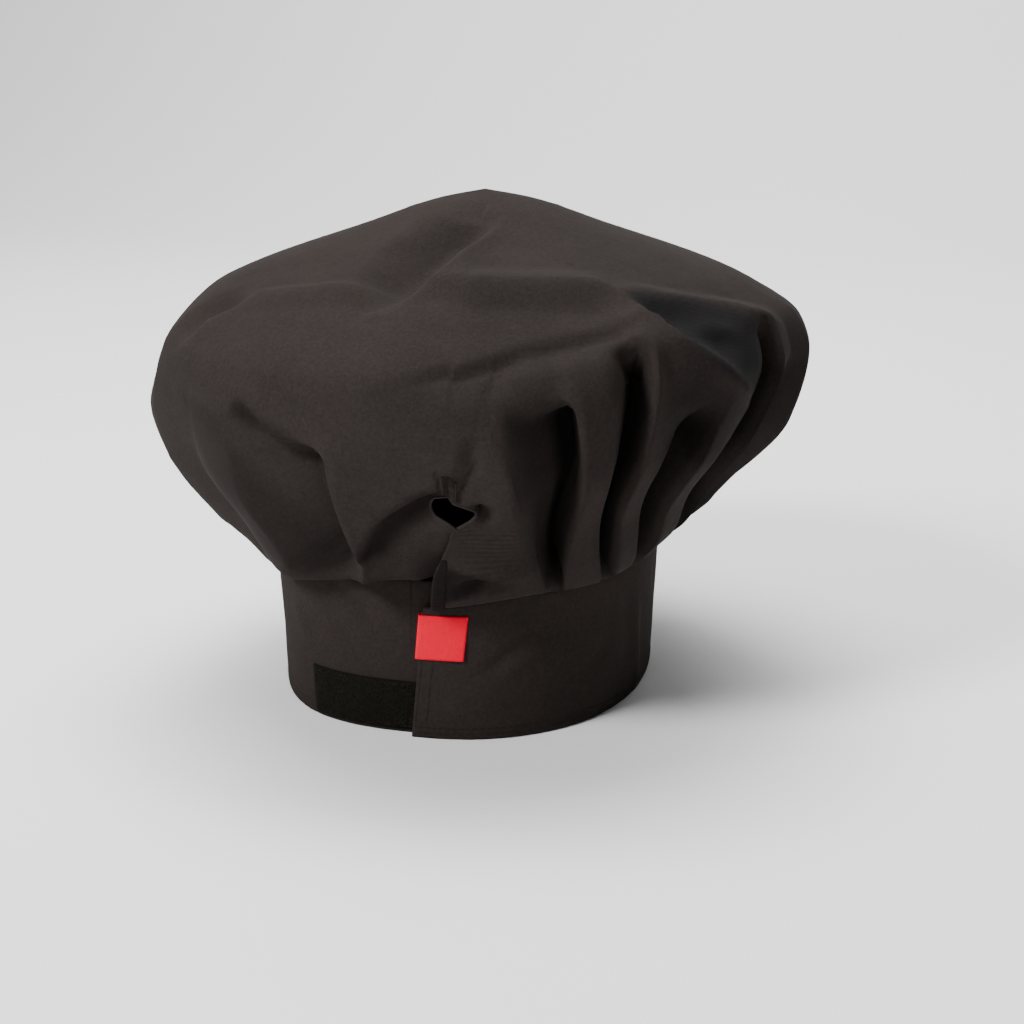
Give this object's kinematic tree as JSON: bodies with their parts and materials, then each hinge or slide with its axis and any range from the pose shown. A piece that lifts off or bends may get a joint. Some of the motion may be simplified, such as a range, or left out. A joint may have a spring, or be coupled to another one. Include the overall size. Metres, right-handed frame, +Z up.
{
  "type": "chef hat",
  "caption": "Soft black chef hat: a wide puffed crown, pleated into a plain band that closes at the back with hook and loop tape under a small vent",
  "frame": {"origin": "on the surface that the hat rests on, under the middle of the whole hat", "axes": "+Z up, -Y the side of the closure and the vent, +X to the right of someone who looks at the closure"},
  "size_m": [0.308, 0.3102, 0.234],
  "materials": {
    "crown_twill": "matte black poly-cotton twill",
    "band_twill": "matte black poly-cotton twill, two layers",
    "loop_tape": "fuzzy black loop pile",
    "hook_tape": "stiff black hook tape",
    "label": "woven red satin"
  },
  "bodies": {
    "root": {"crown": "crown_twill", "band": "band_twill", "loop_tape": "loop_tape", "hook_tape": "hook_tape", "label": "label"}
  },
  "joints": []
}
